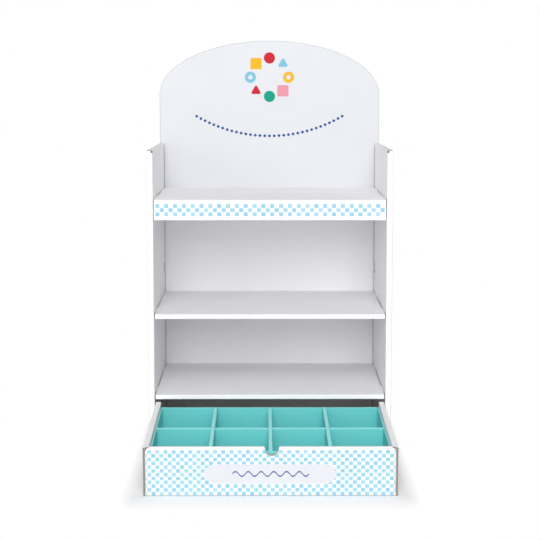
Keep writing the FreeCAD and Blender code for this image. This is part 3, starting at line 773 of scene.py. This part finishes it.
class STAND_OT_drawer_edges(bpy.types.Operator):
    """Show the open flutes along the cut edges of the drawer"""
    bl_idname = "stand.drawer_edges"
    bl_label = "Drawer's cut edges"

    def execute(self, context):
        board = context.scene.stand_board
        half = board.thickness / 2
        edges = []
        for side in (-1, 1):
            edges.append(self.side_end(board, side))
            edges.append(self.roll_end(board, side))
        inner_layer = DRAWER_FRONT + board.rim_width - half
        edges += [self.notch(board, y) for y in (DRAWER_FRONT + half, inner_layer)]
        wall = DRAWER_HIGH.x - board.rim_width - board.panel_gap
        y, top = PIVOT.y - half, PIVOT.z + board.rear_wall
        edges.append(path_edge(fine((wall, y, top), (-wall, y, top)), (0, 1, 0), flute=(1, 0, 0)))
        edge_piece("drawer_edges", edges, "drawer", leaned)
        return {"FINISHED"}

    def side_end(self, board, side):
        """Front end of the outer panel, which turns over at the rim; its flutes run from front to back."""
        half = board.thickness / 2
        x = DRAWER_HIGH.x - half
        corner = DRAWER_RIM - board.thickness
        angle = np.linspace(0, math.pi / 2, 9)[1:]
        middle = x - half
        front = np.full(len(angle), DRAWER_FRONT)
        turn = np.stack([middle + half * np.cos(angle), front, corner + half * np.sin(angle)], axis=1)
        line = np.concatenate([fine((x, DRAWER_FRONT, PIVOT.z), (x, DRAWER_FRONT, corner)), turn])
        return self.end_strips(line, side)

    def roll_end(self, board, side):
        """Front end of the roll-over, a level strip over the front's rounded corner."""
        y = DRAWER_FRONT + board.thickness + board.panel_gap
        z = DRAWER_RIM - board.thickness / 2
        x = DRAWER_HIGH.x
        return self.end_strips(fine((x - board.thickness, y, z), (x - board.rim_width, y, z)), side)

    def end_strips(self, line, side):
        """Strips on a face that looks to the front, for the right side or mirrored for the left."""
        line = line * np.array([side, 1, 1])
        along = np.concatenate([[0], np.cumsum(np.linalg.norm(np.diff(line, axis=0), axis=1))])
        out = np.broadcast_to(np.array([0.0, -1.0, 0.0]), line.shape)
        across = unit(np.cross(out, unit(np.gradient(line, axis=0))))
        return flute_strips(line, out, across, along)

    def notch(self, board, y):
        """U of the finger notch through one layer of the front; its flutes are upright."""
        middle, half, depth = board.notch
        low = DRAWER_RIM - depth + half
        high = DRAWER_RIM - board.thickness / 2
        angle = np.linspace(math.pi, 2 * math.pi, 97)
        layer = np.full(len(angle), y)
        bend = np.stack([middle + half * np.cos(angle), layer, low + half * np.sin(angle)], axis=1)
        left = fine((middle - half, y, high), (middle - half, y, low))[:-1]
        right = fine((middle + half, y, low), (middle + half, y, high))[1:]
        return path_edge(np.concatenate([left, bend, right]), (0, 1, 0), flute=(1, 0, 0))


class STAND_OT_print(bpy.types.Operator):
    """Ink the checks, the label, the wave and the header's shapes"""
    bl_idname = "stand.print"
    bl_label = "Print"

    def execute(self, context):
        inks = context.scene.stand_print
        nodes = frame["nodes"]
        wear(nodes["drawer_checks"], check_ink("check ink of the drawer", inks.front_cell,
                                               DRAWER_RIM - inks.front_margin, leaned=True))
        wear(nodes["lip_checks"], check_ink("check ink of the lip", inks.lip_cell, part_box("lip_checks")[1].z))
        wear(nodes["drawer_label"], ink("label ink", inks.label, 0.006))
        for name in ("drawer_label_wave", "header_garland_navy"):
            wear(nodes[name], ink("navy ink of " + name, inks.navy, 0.05))
        for colour in ("red", "blue", "yellow", "pink", "green"):
            wear(nodes["header_shapes_" + colour], ink(colour + " ink", getattr(inks, colour), 0.03))
        return {"FINISHED"}


class STAND_OT_insert(bpy.types.Operator):
    """Give the drawer's insert its teal card"""
    bl_idname = "stand.insert"
    bl_label = "Teal insert"

    def execute(self, context):
        card = teal_card("teal card")
        for name in TEAL_CARDS:
            wear(frame["nodes"][name], card)
        return {"FINISHED"}


class STAND_OT_stage(bpy.types.Operator):
    """Build the white studio: floor, room light, lamps and camera"""
    bl_idname = "stand.stage"
    bl_label = "Studio"

    def execute(self, context):
        stage = context.scene.stand_stage
        bpy.ops.mesh.primitive_circle_add(vertices=96, radius=stage.floor_radius, fill_type="NGON")
        floor = context.object
        floor.name = "floor"
        floor.data.materials.append(self.floor_paper(stage))
        self.room(context, stage)
        for name, setting, size, place in LAMPS:
            self.lamp(name, getattr(stage, setting), size, place)
        self.camera(context, stage)
        context.scene.view_settings.view_transform = "Standard"
        return {"FINISHED"}

    def floor_paper(self, stage):
        """White paper that the camera sees fade to full white with distance from the stand and its drawer."""
        graph = Graph("studio floor")
        middle = (STAND_HIGH.y + DRAWER_LOW.y) / 2
        aside = graph.math("SUBTRACT", graph.math("ABSOLUTE", graph.x), STAND_HIGH.x)
        ahead = graph.math("SUBTRACT", graph.math("ABSOLUTE", graph.math("SUBTRACT", graph.y, middle)),
                           STAND_HIGH.y - middle)
        shares = [graph.math("DIVIDE", graph.math("MAXIMUM", part, 0.0), reach)
                  for part, reach in zip((aside, ahead), stage.fade)]
        parts = [graph.math("POWER", share, 2.0) for share in shares]
        far = graph.math("SQRT", graph.math("ADD", *parts))
        graph.feed(graph.shader.inputs["Base Color"], tuple(stage.floor))
        graph.shader.inputs["Roughness"].default_value = 0.9
        glow = graph.add("ShaderNodeEmission")
        glow.inputs["Color"].default_value = (1, 1, 1, 1)
        seen = graph.add("ShaderNodeLightPath").outputs["Is Camera Ray"]
        mixer = graph.add("ShaderNodeMixShader")
        fade = graph.spread(far, 0.0, 1.0, 0.0, 1.0)
        graph.feed(mixer.inputs[0], graph.math("MULTIPLY", fade, seen))
        graph.links.new(graph.shader.outputs[0], mixer.inputs[1])
        graph.links.new(glow.outputs[0], mixer.inputs[2])
        graph.links.new(mixer.outputs[0], graph.nodes["Material Output"].inputs["Surface"])
        return graph.material

    def room(self, context, stage):
        """White surroundings: full white to the camera, dimmer as a light."""
        world = bpy.data.worlds.new("studio")
        context.scene.world = world
        world.use_nodes = True
        nodes, links = world.node_tree.nodes, world.node_tree.links
        seen = nodes["Background"]
        seen.inputs["Color"].default_value = (1, 1, 1, 1)
        light = nodes.new("ShaderNodeBackground")
        light.inputs["Color"].default_value = (1, 1, 1, 1)
        light.inputs["Strength"].default_value = stage.room
        path = nodes.new("ShaderNodeLightPath")
        mixer = nodes.new("ShaderNodeMixShader")
        links.new(path.outputs["Is Camera Ray"], mixer.inputs[0])
        links.new(light.outputs[0], mixer.inputs[1])
        links.new(seen.outputs[0], mixer.inputs[2])
        links.new(mixer.outputs[0], nodes["World Output"].inputs["Surface"])

    def lamp(self, name, power, size, place):
        data = bpy.data.lights.new(name, "AREA")
        data.shape = "DISK"
        data.size = size
        data.energy = power
        lamp = bpy.data.objects.new(name, data)
        bpy.context.scene.collection.objects.link(lamp)
        lamp.location = place
        lamp.rotation_euler = (Vector(LAMP_TARGET) - Vector(place)).to_track_quat("-Z", "Y").to_euler()

    def camera(self, context, stage):
        data = bpy.data.cameras.new("camera")
        data.lens = stage.lens
        data.sensor_width = 36
        data.clip_end = 100
        camera = bpy.data.objects.new("camera", data)
        context.scene.collection.objects.link(camera)
        camera.location = stage.camera_place
        camera.rotation_euler = Euler((math.pi / 2 - stage.camera_pitch, 0, -stage.camera_yaw))
        context.scene.camera = camera


class STAND_PT_panel(bpy.types.Panel):
    """Buttons of the display stand"""
    bl_idname = "STAND_PT_panel"
    bl_label = "Display Stand"
    bl_space_type = "VIEW_3D"
    bl_region_type = "UI"
    bl_category = "Display Stand"

    def draw(self, context):
        for operator in OPERATORS:
            self.layout.operator(operator.bl_idname)


SETTINGS = {
    "stand_board": StandBoardSettings,
    "stand_print": StandPrintSettings,
    "stand_insert": StandInsertSettings,
    "stand_stage": StandStageSettings,
}
OPERATORS = (STAND_OT_board, STAND_OT_stand_edges, STAND_OT_drawer_edges, STAND_OT_print,
             STAND_OT_insert, STAND_OT_stage)


def register():
    for kind in (*SETTINGS.values(), *OPERATORS, STAND_PT_panel):
        bpy.utils.register_class(kind)
    for name, kind in SETTINGS.items():
        setattr(bpy.types.Scene, name, bpy.props.PointerProperty(type=kind))


def unregister():
    for name in SETTINGS:
        delattr(bpy.types.Scene, name)
    for kind in reversed((*SETTINGS.values(), *OPERATORS, STAND_PT_panel)):
        bpy.utils.unregister_class(kind)


def main():
    register()
    bpy.ops.stand.board()
    bpy.ops.stand.stand_edges()
    bpy.ops.stand.drawer_edges()
    bpy.ops.stand.print()
    bpy.ops.stand.insert()
    bpy.ops.stand.stage()


if __name__ == "__main__":
    main()
